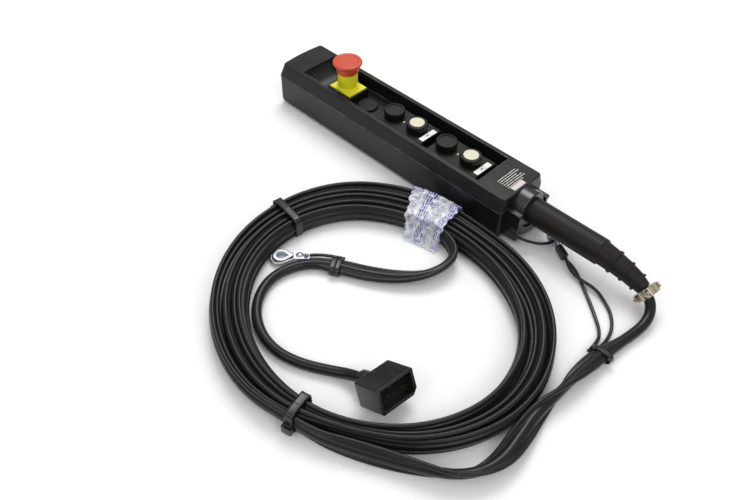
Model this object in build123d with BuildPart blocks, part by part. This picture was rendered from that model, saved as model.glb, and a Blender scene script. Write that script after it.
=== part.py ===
from build123d import *
from math import acos, atan2, cos, pi, radians, sin, sqrt, tan
import os

# Crane pendant control station with its flat cable. Millimetres, +Z out of the button face,
# +X along the housing towards its cable end, origin in the middle of the housing's rear flat face.

os.makedirs("parts", exist_ok=True)

# ---------------------------------------------------------------- driving dimensions
housing_length = 350.0
housing_width = 72.0
parting_height = 40.0
face_height = 55.0
wall = 3.0
face_half_width = 30.7
face_left_inset = 3.0

half_length = housing_length / 2
half_width = housing_width / 2

well_floor = 37.0
well_floor_thickness = 3.0
well_half_width = 25.5
well_right = 134.5
scoop_centre_x = -117.0
scoop_centre_z = 63.0
scoop_radius = scoop_centre_z - well_floor

mounting_hole_radius = 11.25
estop_x = -89.5
blank_x = -55.0
button_positions = [-11.0, 24.0, 68.6, 103.5]
white_button_numbers = [2, 4]
plate_starts = [-24.5, 55.0]
plate_length = 70.0
plate_half_width = 17.5
plate_top = 47.0
button_radius = 12.2
button_top = 56.0
button_skirt_bottom = 50.4
stem_radius = 9.6
stem_bore_radius = 7.0
stem_bottom = 35.0
guide_radius = 9.9
block_top = 31.0
block_bottom = 8.0

estop_head_radius = 17.5
estop_head_top = 84.0
estop_skirt_bottom = 70.3
collar_radius = 12.0
collar_top = 68.5
label_thickness = 1.6

screw_places = [(-159.0, -22.0), (-159.0, 22.0), (152.0, -22.0), (152.0, 22.0)]

sleeve_height = 34.0
sleeve_radius = 14.0
sleeve_end = 276.0
sleeve_flange_radius = 17.5
gland_radius = 20.0
gland_end = 190.0
gland_block_end = 192.0
gland_block_half_width = 25.0

core_diameter = 10.5
rope_diameter = 3.4
wire_diameter = 3.0

coil_centre = (160.0, -197.0)
coil_bottom = 1.8
coil_top = 24.0
# distance from the coil's centre to its inner and outer side, every 30 degrees from +X
coil_inner_reach = [139.0, 134.5, 122.0, 116.0, 121.0, 134.0, 137.0, 131.0, 123.0, 121.5, 126.0, 133.5]
coil_outer_reach = [172.5, 171.0, 162.0, 153.0, 166.0, 178.0, 175.0, 167.5, 160.0, 154.0, 144.0, 160.0]


def save(piece, name):
    """Label a finished piece and write it to its own STEP file."""
    piece.part.label = name
    export_step(piece.part, f"parts/{name}.step")


def corner_radii(points):
    """The largest arc that the two runs at each corner of a route allow."""
    route = [Vector(*point) for point in points]
    radii = []
    for before, corner, after in zip(route, route[1:], route[2:]):
        run_in = corner - before
        run_out = after - corner
        half_turn = radians(run_in.get_angle(run_out)) / 2
        radii.append(0.45 * min(run_in.length, run_out.length) / tan(half_turn))
    return radii


def save_placed(piece, name, plane):
    """Save a piece that was built about the origin, moved onto its own plane."""
    piece.part.location = plane.location
    save(piece, name)


def save_cord(name, routes, diameter, end_piece=None):
    """Sweep one round tube along each route, straight runs joined by tangent arcs."""
    section_area = pi * diameter**2 / 4
    with BuildPart() as tube:
        for points in routes:
            radii = corner_radii(points)
            with BuildLine():
                centreline = FilletPolyline(*points, radius=radii)
            with BuildSketch(Plane(origin=points[0], z_dir=centreline % 0)):
                Circle(diameter / 2)
            sweep(path=centreline)
            print(f"{name}: length {centreline.length:.0f} mm, smallest radius {min(radii):.1f} mm")
            print("   radii", [round(radius, 1) for radius in radii])
            print(f"   section x length {section_area * centreline.length:.0f} mm3")
        if end_piece:
            add(end_piece)
    print(f"   volume {tube.part.volume:.0f} mm3")
    save(tube, name)


def tilted_plane(origin, heading, pitch, roll):
    """A plane whose x axis has this heading and climbs by this pitch, rolled about itself."""
    forward = Vector(
        cos(radians(pitch)) * cos(radians(heading)),
        cos(radians(pitch)) * sin(radians(heading)),
        sin(radians(pitch)),
    )
    upward = Vector(
        -sin(radians(pitch)) * cos(radians(heading)),
        -sin(radians(pitch)) * sin(radians(heading)),
        cos(radians(pitch)),
    )
    upward = upward.rotate(Axis((0, 0, 0), forward), roll)
    return Plane(origin=origin, x_dir=forward, z_dir=upward)


# ---------------------------------------------------------------- rear housing
end_bow = 2.0
corner_radius = 5.0
parting_bevel = 0.6
gasket_width = 1.4
gasket_depth = 1.5
boss_radius = 5.0
screw_radius = 1.6
screw_head_radius = 3.8
counterbore_depth = 4.4


def plan_outline(half_width_here, left_inset):
    """Plan outline of the housing or cover at one height, with its bowed left end."""
    left = -half_length + left_inset
    with BuildLine() as outline:
        Line((left, -half_width_here), (half_length, -half_width_here))
        Line((half_length, -half_width_here), (half_length, half_width_here))
        Line((half_length, half_width_here), (left, half_width_here))
        ThreePointArc((left, half_width_here), (left - end_bow, 0), (left, -half_width_here))
    return outline.line


with BuildPart() as rear_housing:
    with BuildSketch():
        make_face(plan_outline(half_width, 0).edges())
    extrude(amount=parting_height)
    fillet(rear_housing.edges().filter_by(Axis.Z), radius=corner_radius)
    chamfer(rear_housing.faces().sort_by(Axis.Z)[-1].edges(), length=parting_bevel)
    left_bottom = rear_housing.edges().group_by(Axis.Z)[0].filter_by(GeomType.CIRCLE)
    fillet(left_bottom.sort_by(SortBy.LENGTH)[-1], radius=7)
    with BuildSketch(Plane.XY.offset(wall)):
        RectangleRounded(housing_length - 2 * wall, housing_width - 2 * wall, 3)
    extrude(amount=parting_height, mode=Mode.SUBTRACT)
    with BuildSketch(Plane.XY.offset(parting_height - gasket_depth)):
        RectangleRounded(housing_length - wall, housing_width - wall, 4)
        RectangleRounded(
            housing_length - wall - 2 * gasket_width, housing_width - wall - 2 * gasket_width, 3.5,
            mode=Mode.SUBTRACT,
        )
    extrude(amount=gasket_depth, mode=Mode.SUBTRACT)
    with BuildSketch(Plane.XY.offset(wall)):
        with Locations(*screw_places):
            Circle(boss_radius)
    extrude(amount=parting_height - wall)
    with Locations(*[(x, y, 0) for x, y in screw_places]):
        Cylinder(screw_radius + 0.4, 3 * parting_height, mode=Mode.SUBTRACT)
        Cylinder(screw_head_radius + 0.4, 2 * counterbore_depth, mode=Mode.SUBTRACT)
    with BuildSketch(Plane.YZ.offset(half_length - 2 * wall)):
        with Locations((0, sleeve_height)):
            Circle(sleeve_radius)
    extrude(amount=3 * wall, mode=Mode.SUBTRACT)
    with Locations((half_length - wall / 2, 19, 10), (half_length - wall / 2, -19, 10)):
        Cylinder(1.7, 2 * wall, rotation=(0, 90, 0), mode=Mode.SUBTRACT)
save(rear_housing, "rear_housing")

# ---------------------------------------------------------------- cover gasket
with BuildPart() as cover_gasket:
    with BuildSketch(Plane.XY.offset(parting_height - gasket_depth)):
        RectangleRounded(housing_length - wall - 0.2, housing_width - wall - 0.2, 3.9)
        RectangleRounded(
            housing_length - wall - 2 * gasket_width + 0.2,
            housing_width - wall - 2 * gasket_width + 0.2,
            3.6,
            mode=Mode.SUBTRACT,
        )
    extrude(amount=gasket_depth)
    with Locations((half_length, 0, parting_height)):
        Box(6 * wall, 2 * sleeve_flange_radius + 1, 4 * gasket_depth, mode=Mode.SUBTRACT)
save(cover_gasket, "cover_gasket")

# ---------------------------------------------------------------- front cover

def well_outline(inset, right):
    """Side outline of the button well, with the round thumb scoop at its left end."""
    radius = scoop_radius + inset
    top = face_height + 5
    floor = well_floor - inset
    left = scoop_centre_x - sqrt(radius**2 - (scoop_centre_z - face_height - 2) ** 2)
    with BuildLine() as outline:
        Line((scoop_centre_x, floor), (right, floor))
        Line((right, floor), (right, top))
        Line((right, top), (left, top))
        Line((left, top), (left, face_height + 2))
        ThreePointArc(
            (left, face_height + 2),
            (scoop_centre_x - radius * sin(radians(40)), scoop_centre_z - radius * cos(radians(40))),
            (scoop_centre_x, floor),
        )
    return outline.line


with BuildPart() as front_cover:
    with BuildSketch(Plane.XY.offset(parting_height)):
        make_face(plan_outline(half_width, 0).edges())
    with BuildSketch(Plane.XY.offset(face_height)):
        make_face(plan_outline(face_half_width, face_left_inset).edges())
    loft()
    upright = front_cover.edges().filter_by_position(Axis.Z, parting_height + 1, face_height - 1)
    fillet(upright, radius=4.5)
    fillet(front_cover.faces().sort_by(Axis.Z)[-1].edges(), radius=1.2)
    with BuildSketch(Plane.XY.offset(parting_height)):
        Rectangle(housing_length - 2 * wall, housing_width - 2 * wall)
    with BuildSketch(Plane.XY.offset(face_height - wall)):
        with Locations((face_left_inset / 2, 0)):
            Rectangle(
                housing_length - 2 * wall - face_left_inset, 2 * (face_half_width - wall)
            )
    loft(mode=Mode.SUBTRACT)
    with BuildSketch(Plane.XZ.offset(-well_half_width - wall)):
        make_face(well_outline(well_floor_thickness, well_right + wall).edges())
    extrude(amount=2 * (well_half_width + wall))
    with BuildSketch(Plane.XY.offset(face_height)):
        Rectangle(2 * housing_length, 2 * housing_width)
    extrude(amount=20, mode=Mode.SUBTRACT)
    with BuildSketch(Plane.XZ.offset(-well_half_width)):
        make_face(well_outline(0, well_right).edges())
    extrude(amount=2 * well_half_width, mode=Mode.SUBTRACT)
    with BuildSketch(Plane.XY.offset(parting_height)):
        with Locations(*screw_places):
            Circle(boss_radius - 0.5)
    extrude(amount=face_height - parting_height - wall)
    with Locations(*[(x, y, parting_height) for x, y in screw_places]):
        Cylinder(screw_radius, 18, mode=Mode.SUBTRACT)
    with Locations(*[(x, 0, well_floor) for x in [estop_x, blank_x] + button_positions]):
        Cylinder(mounting_hole_radius, 3 * well_floor_thickness, mode=Mode.SUBTRACT)
    with BuildSketch(Plane.YZ.offset(half_length - 2 * wall)):
        with Locations((0, sleeve_height)):
            Circle(sleeve_radius)
    extrude(amount=3 * wall, mode=Mode.SUBTRACT)
save(front_cover, "front_cover")

# ---------------------------------------------------------------- cover screws, put in from behind
with BuildPart() as cover_screws:
    for x, y in screw_places:
        with Locations((x, y, 0.8)):
            Cylinder(screw_head_radius, 3.4, align=(Align.CENTER, Align.CENTER, Align.MIN))
            Cylinder(screw_radius, 46, align=(Align.CENTER, Align.CENTER, Align.MIN))
        with Locations((x, y, 0.8)):
            Box(5.5, 1.0, 2.4, mode=Mode.SUBTRACT)
            Box(1.0, 5.5, 2.4, mode=Mode.SUBTRACT)
save(cover_screws, "cover_screws")

# ---------------------------------------------------------------- emergency stop
frame_length = 37.5
frame_half_width = 16.7
frame_x = estop_x + 0.8

with BuildPart() as estop_frame:
    with BuildSketch(Plane.XY.offset(well_floor)):
        with Locations((frame_x, 0)):
            RectangleRounded(frame_length, 2 * frame_half_width, 1.5)
        with Locations((estop_x, 0)):
            Circle(mounting_hole_radius, mode=Mode.SUBTRACT)
    extrude(amount=plate_top - well_floor)
    chamfer(estop_frame.faces().sort_by(Axis.Z)[-1].edges().filter_by(GeomType.LINE), length=0.6)
save(estop_frame, "estop_frame")

with BuildPart() as estop_plate:
    with BuildSketch(Plane.XY.offset(plate_top)):
        with Locations((frame_x, 0)):
            RectangleRounded(34.0, 28.0, 0.8)
        with Locations((estop_x, 0)):
            Circle(mounting_hole_radius, mode=Mode.SUBTRACT)
    extrude(amount=label_thickness)
save(estop_plate, "estop_plate")

collar_base = plate_top + label_thickness
collar_shoulder = 50.0
barrel_bottom = 30.0
barrel_radius = 11.0
collar_bore_radius = 9.2
plunger_radius = 6.0
plunger_guide_radius = plunger_radius + 0.05
nut_radius = 15.0

with BuildPart() as estop_collar:
    with BuildSketch(Plane.XZ):
        with BuildLine():
            Polyline(
                (plunger_guide_radius, barrel_bottom),
                (barrel_radius, barrel_bottom),
                (barrel_radius, collar_base),
                (14.0, collar_base),
                (14.0, collar_base + 1.6),
                (13.2, collar_base + 2.2),
                (collar_radius, collar_base + 2.4),
                (collar_radius, collar_top - 0.6),
                (collar_radius - 0.6, collar_top),
                (collar_bore_radius, collar_top),
                (collar_bore_radius, collar_shoulder),
                (plunger_guide_radius, collar_shoulder),
                close=True,
            )
        make_face()
    revolve(axis=Axis.Z)
estop_collar.part.position = (estop_x, 0, 0)
save(estop_collar, "estop_collar")

with BuildPart() as estop_nut:
    with BuildSketch(Plane.XY.offset(well_floor - well_floor_thickness - 3.0)):
        with Locations((estop_x, 0)):
            RegularPolygon(nut_radius, 6)
            Circle(barrel_radius, mode=Mode.SUBTRACT)
    extrude(amount=3.0)
save(estop_nut, "estop_nut")

head_roof = 76.5
head_pin_radius = 4.0
head_pin_height = 5.0

with BuildPart() as estop_head:
    with BuildSketch(Plane.XZ):
        with BuildLine():
            Polyline(
                (12.4, estop_skirt_bottom),
                (13.3, estop_skirt_bottom),
                (13.6, head_roof),
                (15.6, 79.4),
            )
            ThreePointArc((15.6, 79.4), (estop_head_radius, 81.6), (16.4, 83.6))
            ThreePointArc((16.4, 83.6), (14.6, estop_head_top), (12.8, 83.7))
            Polyline(
                (12.8, 83.7),
                (11.8, 83.1),
                (0, 83.1),
                (0, head_roof + head_pin_height + 0.4),
                (head_pin_radius + 0.05, head_roof + head_pin_height + 0.4),
                (head_pin_radius + 0.05, head_roof),
                (12.4, head_roof),
                (12.4, estop_skirt_bottom),
            )
        make_face()
    revolve(axis=Axis.Z)
estop_head.part.position = (estop_x, 0, 0)
save(estop_head, "estop_head")

with BuildPart() as estop_plunger:
    with Locations((estop_x, 0, block_top + 0.3)):
        Cylinder(
            plunger_radius,
            head_roof - 0.3 - block_top - 0.3,
            align=(Align.CENTER, Align.CENTER, Align.MIN),
        )
    with Locations((estop_x, 0, head_roof - 1.5)):
        Cylinder(8.8, 1.2, align=(Align.CENTER, Align.CENTER, Align.MIN))
    with Locations((estop_x, 0, head_roof - 0.3)):
        Cylinder(
            head_pin_radius, head_pin_height, align=(Align.CENTER, Align.CENTER, Align.MIN)
        )
save(estop_plunger, "estop_plunger")


def save_spring(name, x, bottom, top, coil_radius, wire_radius, turns):
    """A closed-end compression spring standing at x between two heights."""
    height = top - bottom - 2 * wire_radius
    with BuildPart() as spring:
        with BuildLine() as coil_line:
            Helix(height / turns, height, coil_radius, center=(x, 0, bottom + wire_radius))
        with BuildSketch(Plane(origin=coil_line.line @ 0, z_dir=coil_line.line % 0)):
            Circle(wire_radius)
        sweep(path=coil_line.line, is_frenet=True)
    save(spring, name)


save_spring("estop_spring", estop_x, collar_shoulder + 0.1, head_roof - 1.6, 7.6, 0.7, 7)

# ---------------------------------------------------------------- blanking plug
with BuildPart() as blanking_plug:
    with Locations((blank_x, 0, well_floor)):
        Cylinder(button_radius, 2.6, align=(Align.CENTER, Align.CENTER, Align.MIN))
    fillet(blanking_plug.edges().sort_by(Axis.Z)[-1], radius=0.8)
    with Locations((blank_x, 0, well_floor - 6)):
        Cylinder(mounting_hole_radius - 0.15, 6, align=(Align.CENTER, Align.CENTER, Align.MIN))
        Cylinder(
            mounting_hole_radius - 2.5,
            5,
            align=(Align.CENTER, Align.CENTER, Align.MIN),
            mode=Mode.SUBTRACT,
        )
save(blanking_plug, "blanking_plug")

# ---------------------------------------------------------------- button plates and label strips
strip_length = 6.5
strip_half_width = 12.0
strip_recess = 0.4
strip_offset = 65.6

for number, start in enumerate(plate_starts, start=1):
    holes = button_positions[2 * number - 2 : 2 * number]
    with BuildPart() as button_plate:
        with BuildSketch(Plane.XY.offset(well_floor)):
            with Locations((start + plate_length / 2, 0)):
                RectangleRounded(plate_length, 2 * plate_half_width, 1.2)
        extrude(amount=plate_top - well_floor)
        top_edges = button_plate.faces().sort_by(Axis.Z)[-1].edges()
        chamfer(top_edges, length=0.5)
        with Locations(*[(x, 0, well_floor) for x in holes]):
            Cylinder(guide_radius, 60, mode=Mode.SUBTRACT)
        with BuildSketch(Plane.XY.offset(plate_top - strip_recess)):
            with Locations((start + strip_offset, 0)):
                Rectangle(strip_length + 0.3, 2 * strip_half_width + 0.3)
        extrude(amount=2, mode=Mode.SUBTRACT)
    save(button_plate, f"button_plate_{number}")

with BuildPart() as label_strips:
    with BuildSketch(Plane.XY.offset(plate_top - strip_recess)):
        with Locations(*[(start + strip_offset, 0) for start in plate_starts]):
            Rectangle(strip_length, 2 * strip_half_width)
    extrude(amount=0.6)
save(label_strips, "label_strips")

# ---------------------------------------------------------------- push-buttons
lens_radius = 8.5
lens_depth = 0.8
rim_width = 2.6
dish_depth = 1.0

for number, x in enumerate(button_positions, start=1):
    is_white = number in white_button_numbers
    with BuildPart() as button_cap:
        with Locations((x, 0, button_skirt_bottom)):
            Cylinder(
                button_radius,
                button_top - button_skirt_bottom,
                align=(Align.CENTER, Align.CENTER, Align.MIN),
            )
        fillet(button_cap.edges().sort_by(Axis.Z)[-1], radius=1.4)
        with Locations((x, 0, button_top)):
            if is_white:
                Cylinder(lens_radius + 0.1, 2 * lens_depth, mode=Mode.SUBTRACT)
            else:
                Cylinder(button_radius - rim_width, 2 * dish_depth, mode=Mode.SUBTRACT)
        with Locations((x, 0, stem_bottom)):
            Cylinder(
                stem_radius,
                button_skirt_bottom - stem_bottom,
                align=(Align.CENTER, Align.CENTER, Align.MIN),
            )
            Cylinder(
                stem_bore_radius,
                button_top - 2.6 - stem_bottom,
                align=(Align.CENTER, Align.CENTER, Align.MIN),
                mode=Mode.SUBTRACT,
            )
    save(button_cap, f"button_cap_{number}")
    save_spring(
        f"button_spring_{number}", x, block_top + 0.1, button_top - 2.7, 5.6, 0.55, 7
    )

for number in white_button_numbers:
    with BuildPart() as white_lens:
        with Locations((button_positions[number - 1], 0, button_top - lens_depth)):
            Cylinder(lens_radius, lens_depth + 0.5, align=(Align.CENTER, Align.CENTER, Align.MIN))
        fillet(white_lens.edges().sort_by(Axis.Z)[-1], radius=0.4)
    save(white_lens, f"white_lens_{number}")

# ---------------------------------------------------------------- contact blocks and their chassis
block_length = 22.0
block_width = 30.0

with BuildPart() as contact_blocks:
    for x in button_positions:
        with Locations((x, 0, block_bottom)):
            Box(
                block_length,
                block_width,
                block_top - block_bottom,
                align=(Align.CENTER, Align.CENTER, Align.MIN),
            )
        with Locations((x - 6, -12, block_top), (x + 6, -12, block_top)):
            Cylinder(2.2, 8, mode=Mode.SUBTRACT)
        with Locations((x - 6, 12, block_top), (x + 6, 12, block_top)):
            Cylinder(2.2, 8, mode=Mode.SUBTRACT)
save(contact_blocks, "contact_blocks")

with BuildPart() as estop_contact_block:
    with Locations((estop_x, 0, block_bottom)):
        Box(
            26,
            34,
            26.2 - block_bottom,
            align=(Align.CENTER, Align.CENTER, Align.MIN),
        )
    with Locations((estop_x - 9, 0, 26.2), (estop_x + 9, 0, 26.2)):
        with GridLocations(0, 24, 1, 2):
            Cylinder(2.2, 8, mode=Mode.SUBTRACT)
save(estop_contact_block, "estop_contact_block")

chassis_start = -112.0
chassis_end = 118.0

with BuildPart() as contact_chassis:
    with BuildSketch(Plane.XY.offset(block_bottom - 1.5)):
        with Locations(((chassis_start + chassis_end) / 2, 0)):
            Rectangle(chassis_end - chassis_start, 40)
    extrude(amount=1.5)
    with BuildSketch(Plane.XY.offset(wall)):
        with Locations(*[(x, y) for x in (-105, 0, 112) for y in (-16, 16)]):
            Circle(3)
    extrude(amount=block_bottom - 1.5 - wall)
save(contact_chassis, "contact_chassis")

# ---------------------------------------------------------------- terminal strip and inner wires
terminal_x = 133.0
terminal_pitch = 4.6
terminal_count = 8
terminal_middle = (terminal_count - 1) / 2
terminal_places = [(index - terminal_middle) * terminal_pitch for index in range(terminal_count)]

with BuildPart() as terminal_strip:
    with Locations((terminal_x, 0, wall)):
        Box(16, 40, 16, align=(Align.CENTER, Align.CENTER, Align.MIN))
    with Locations(*[(terminal_x, y, wall + 16) for y in terminal_places]):
        Cylinder(1.9, 12, mode=Mode.SUBTRACT)
    with Locations(*[(terminal_x, y, wall + 5) for y in terminal_places]):
        Cylinder(1.4, 20, rotation=(0, 90, 0), mode=Mode.SUBTRACT)
save(terminal_strip, "terminal_strip")

with BuildPart() as terminal_screws:
    for y in terminal_places:
        with Locations((terminal_x, y, wall + 10)):
            Cylinder(1.85, 5, align=(Align.CENTER, Align.CENTER, Align.MIN))
        with Locations((terminal_x, y, wall + 15)):
            Box(4.4, 0.8, 1.6, mode=Mode.SUBTRACT)
save(terminal_screws, "terminal_screws")

with BuildPart() as core_wires:
    for index, y in enumerate(terminal_places):
        spread = (index - terminal_middle) * 1.3
        points = [
            (166.0, spread, sleeve_height - 6),
            (158.0, spread * 1.6, sleeve_height - 10),
            (149.0, y, wall + 8),
            (terminal_x + 8, y, wall + 5),
        ]
        with BuildLine() as wire_route:
            FilletPolyline(*points, radius=corner_radii(points))
        with BuildSketch(Plane(origin=points[0], z_dir=wire_route.line % 0)):
            Circle(0.55)
        sweep(path=wire_route.line)
save(core_wires, "core_wires")

# ---------------------------------------------------------------- identification sticker
with BuildPart() as id_sticker:
    with BuildSketch(Plane.XY.offset(face_height)):
        with Locations((168.6, -1.8)):
            Rectangle(6.2, 18.5)
    extrude(amount=0.25)
save(id_sticker, "id_sticker")

# ---------------------------------------------------------------- gland at the cable end
gland_block_bottom = 5.0
gland_screw_places = [(19.0, 10.0), (-19.0, 10.0)]

with BuildPart() as gland_block:
    with BuildSketch(Plane.YZ.offset(half_length)):
        with Locations((0, gland_block_bottom)):
            Rectangle(
                2 * gland_block_half_width,
                parting_height - gland_block_bottom,
                align=(Align.CENTER, Align.MIN),
            )
        with Locations((0, sleeve_height)):
            Circle(gland_radius, mode=Mode.SUBTRACT)
    extrude(amount=gland_block_end - half_length)
    chamfer(gland_block.edges().filter_by(Axis.Y).group_by(Axis.X)[-1], length=0.8)
    with Locations(*[(gland_block_end, y, z) for y, z in gland_screw_places]):
        Cylinder(2.2, 60, rotation=(0, 90, 0), mode=Mode.SUBTRACT)
    with Locations((181.0, 0, 20.0)):
        Cylinder(1.8, 80, rotation=(90, 0, 0), mode=Mode.SUBTRACT)
    with Locations((gland_block_end - 2, gland_block_half_width, 32)):
        Box(4.2, 5.0, 7.0, mode=Mode.SUBTRACT)
save(gland_block, "gland_block")

with BuildPart() as gland_collar:
    with BuildSketch(Plane.YZ.offset(half_length)):
        with Locations((0, sleeve_height)):
            Circle(gland_radius)
            Circle(sleeve_radius, mode=Mode.SUBTRACT)
    extrude(amount=gland_end - half_length)
    fillet(gland_collar.faces().sort_by(Axis.X)[-1].edges().sort_by(SortBy.LENGTH)[-1], radius=1.6)
save(gland_collar, "gland_collar")

with BuildPart() as gland_screws:
    for y, z in gland_screw_places:
        with Locations((gland_block_end + 1.2, y, z)):
            Cylinder(3.6, 2.4, rotation=(0, 90, 0))
        with Locations((gland_block_end - 10, y, z)):
            Cylinder(1.6, 20, rotation=(0, 90, 0))
        with Locations((gland_block_end + 2.4, y, z)):
            Box(1.6, 5.0, 0.9, mode=Mode.SUBTRACT)
save(gland_screws, "gland_screws")

# ---------------------------------------------------------------- rubber sleeve with its stepped tail
sleeve_start = 167.0
sleeve_bore_radius = 6.2
tail_stations = [(276.0, 34.0), (290.7, 32.0), (305.0, 29.2), (318.5, 25.0), (326.0, 21.6)]
tail_start_radii = [12.6, 11.4, 10.2, 8.9]
tail_end_radii = [11.6, 10.4, 9.3, 7.4]
ridge_radii = [12.9, 11.6, 10.4]
ridge_width = 2.6


def run_plane(start, end):
    """A plane at the start of a run in the XZ plane, looking along it."""
    heading = Vector(end[0] - start[0], 0, end[1] - start[1])
    return Plane(origin=(start[0], 0, start[1]), x_dir=(0, 1, 0), z_dir=heading)


with BuildPart() as rubber_sleeve:
    with BuildSketch(Plane.YZ.offset(sleeve_start)):
        with Locations((0, sleeve_height)):
            Circle(sleeve_flange_radius)
    extrude(amount=half_length - wall - sleeve_start)
    with BuildSketch(Plane.YZ.offset(sleeve_start)):
        with Locations((0, sleeve_height)):
            Circle(sleeve_radius)
    extrude(amount=sleeve_end - sleeve_start)
    fillet(rubber_sleeve.edges().sort_by(Axis.X)[-1], radius=1.2)
    for index, (start, end) in enumerate(zip(tail_stations, tail_stations[1:])):
        run = run_plane(start, end)
        run_length = sqrt((end[0] - start[0]) ** 2 + (end[1] - start[1]) ** 2)
        with BuildSketch(run.offset(-1.5)):
            Circle(tail_start_radii[index])
        with BuildSketch(run.offset(run_length)):
            Circle(tail_end_radii[index])
        loft()
        if index < len(ridge_radii):
            with BuildSketch(run.offset(run_length - ridge_width / 2)):
                Circle(ridge_radii[index])
            extrude(amount=ridge_width)
    bore_route = [(sleeve_start - 5, 0, sleeve_height)]
    bore_route += [(x, 0, z) for x, z in tail_stations]
    bore_route[-1] = (bore_route[-1][0] + 4.5, 0, bore_route[-1][2] - 2.04)
    with BuildLine() as bore_line:
        FilletPolyline(*bore_route, radius=corner_radii(bore_route))
    with BuildSketch(Plane(origin=bore_route[0], z_dir=bore_line.line % 0)):
        Circle(sleeve_bore_radius)
    sweep(path=bore_line.line, mode=Mode.SUBTRACT)
save(rubber_sleeve, "rubber_sleeve")

# ---------------------------------------------------------------- cable inside the sleeve
inner_route = [(160.0, 0.0, sleeve_height)]
inner_route += [(x, 0, z) for x, z in tail_stations[:-1]]
with BuildPart() as inner_cable:
    with BuildLine() as inner_line:
        FilletPolyline(*inner_route, radius=corner_radii(inner_route))
    with BuildSketch(Plane(origin=inner_route[0], z_dir=inner_line.line % 0)):
        Circle(core_diameter / 2)
    sweep(path=inner_line.line)
save(inner_cable, "inner_cable")

# ---------------------------------------------------------------- clamp gripping the cable
clamp_length = 9.0
clamp_radius = 8.6
clamp_ear_width = 13.6
clamp_ear_height = 23.0
clamp_gap = 0.8
clamp_screw_z = 8.7
clamp_screw_radius = 1.5
clamp_plane = tilted_plane((330.4, -0.6, 19.4), -3.4, -25.7, 0)
clamp_screw_rows = [(0, clamp_screw_z), (0, -clamp_screw_z)]

with BuildPart() as clamp_saddles:
    with BuildSketch(Plane.YZ.offset(-clamp_length / 2)):
        Circle(clamp_radius)
        RectangleRounded(clamp_ear_width, clamp_ear_height, 1.5)
        Circle(core_diameter / 2, mode=Mode.SUBTRACT)
        Rectangle(clamp_gap, 2 * clamp_ear_height, mode=Mode.SUBTRACT)
    extrude(amount=clamp_length)
    with BuildSketch(Plane.XZ.offset(-clamp_radius)):
        with Locations(*clamp_screw_rows):
            Circle(clamp_screw_radius)
    extrude(amount=2 * clamp_radius, mode=Mode.SUBTRACT)
save_placed(clamp_saddles, "clamp_saddles", clamp_plane)

with BuildPart() as clamp_screws:
    with BuildSketch(Plane.XZ.offset(-clamp_ear_width / 2)):
        with Locations(*clamp_screw_rows):
            Circle(clamp_screw_radius)
    extrude(amount=clamp_ear_width + 5.6)
    with BuildSketch(Plane.XZ.offset(-clamp_ear_width / 2 - 2.8)):
        with Locations(*clamp_screw_rows):
            Circle(3.4)
            Rectangle(0.9, 7.0, mode=Mode.SUBTRACT)
    extrude(amount=2.8)
    with BuildSketch(Plane.XZ.offset(-clamp_ear_width / 2)):
        with Locations(*clamp_screw_rows):
            Circle(3.4)
    extrude(amount=-1.4)
    with BuildSketch(Plane.XZ.offset(clamp_ear_width / 2)):
        with Locations(*clamp_screw_rows):
            RegularPolygon(3.2, 6)
    extrude(amount=3.0)
save_placed(clamp_screws, "clamp_screws", clamp_plane)

# ---------------------------------------------------------------- the cord's free route
lead_route = [
    (320.5, 0.0, 24.1),
    (334.0, -0.8, 17.6),
    (344.0, -10.5, 11.0),
    (347.2, -25.0, 7.2),
    (345.5, -43.0, 5.8),
    (342.0, -64.0, 5.7),
    (340.0, -84.0, 6.4),
    (336.5, -116.0, 9.5),
    (337.5, -150.0, 10.8),
    (337.0, -180.0, 10.8),
    (341.0, -208.0, 10.8),
    (344.0, -234.0, 10.8),
    (339.0, -257.0, 10.8),
    (325.0, -276.0, 10.8),
    (303.0, -290.5, 10.8),
    (273.0, -307.0, 10.8),
    (243.5, -322.0, 10.8),
    (223.0, -331.5, 10.8),
    (206.0, -338.0, 10.8),
]

connector_depth = 30.8
connector_width = 42.0
connector_height = 25.6
connector_plane = tilted_plane((232.2, -260.1, 21.1), 2, 28, -7.8)
boss_length = 9.0
boss_radius = 8.5
boss_y = -4.5
boss_z = 4.6
boss_approach = 14.0
approach_point = connector_plane.from_local_coords(
    (-connector_depth / 2 - boss_length - boss_approach, boss_y, boss_z)
)
cord_end_point = connector_plane.from_local_coords((-connector_depth / 2 - 2, boss_y, boss_z))

tail_route = [
    (151.0, -75.0, 12.0),
    (163.0, -88.0, 11.4),
    (168.0, -106.0, 10.8),
    (161.0, -130.0, 10.8),
    (143.0, -151.0, 10.8),
    (117.0, -169.5, 10.8),
    (88.0, -184.0, 9.0),
    (69.0, -198.0, 6.6),
    (57.0, -217.0, 5.8),
    (53.0, -241.0, 5.6),
    (62.0, -265.0, 5.6),
    (80.0, -284.0, 5.6),
    (104.0, -295.5, 5.6),
    (129.0, -297.5, 5.6),
    (153.0, -290.5, 5.6),
    (175.0, -278.0, 5.6),
    tuple(approach_point),
    tuple(cord_end_point),
]

save_cord("cord_lead", [lead_route], core_diameter)
save_cord("cord_tail", [tail_route], core_diameter)


def coil_outline(reaches, growth=0.0):
    """A smooth closed outline round the coil's centre through points every 30 degrees."""
    points = []
    for index, reach in enumerate(reaches):
        angle = radians(index * 360 / len(reaches))
        x = coil_centre[0] + (reach + growth) * cos(angle)
        y = coil_centre[1] + (reach + growth) * sin(angle)
        points.append((x, y))
    with BuildLine() as outline:
        Spline(*points, periodic=True)
    return outline.edges()


def coil_ring(growth, bottom, top):
    """A ring of the coil's own shape, grown by the same amount inside and out."""
    with BuildPart() as ring:
        with BuildSketch(Plane.XY.offset(bottom)):
            make_face(coil_outline(coil_outer_reach, growth))
            make_face(coil_outline(coil_inner_reach, -growth), mode=Mode.SUBTRACT)
        extrude(amount=top - bottom)
    return ring


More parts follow.
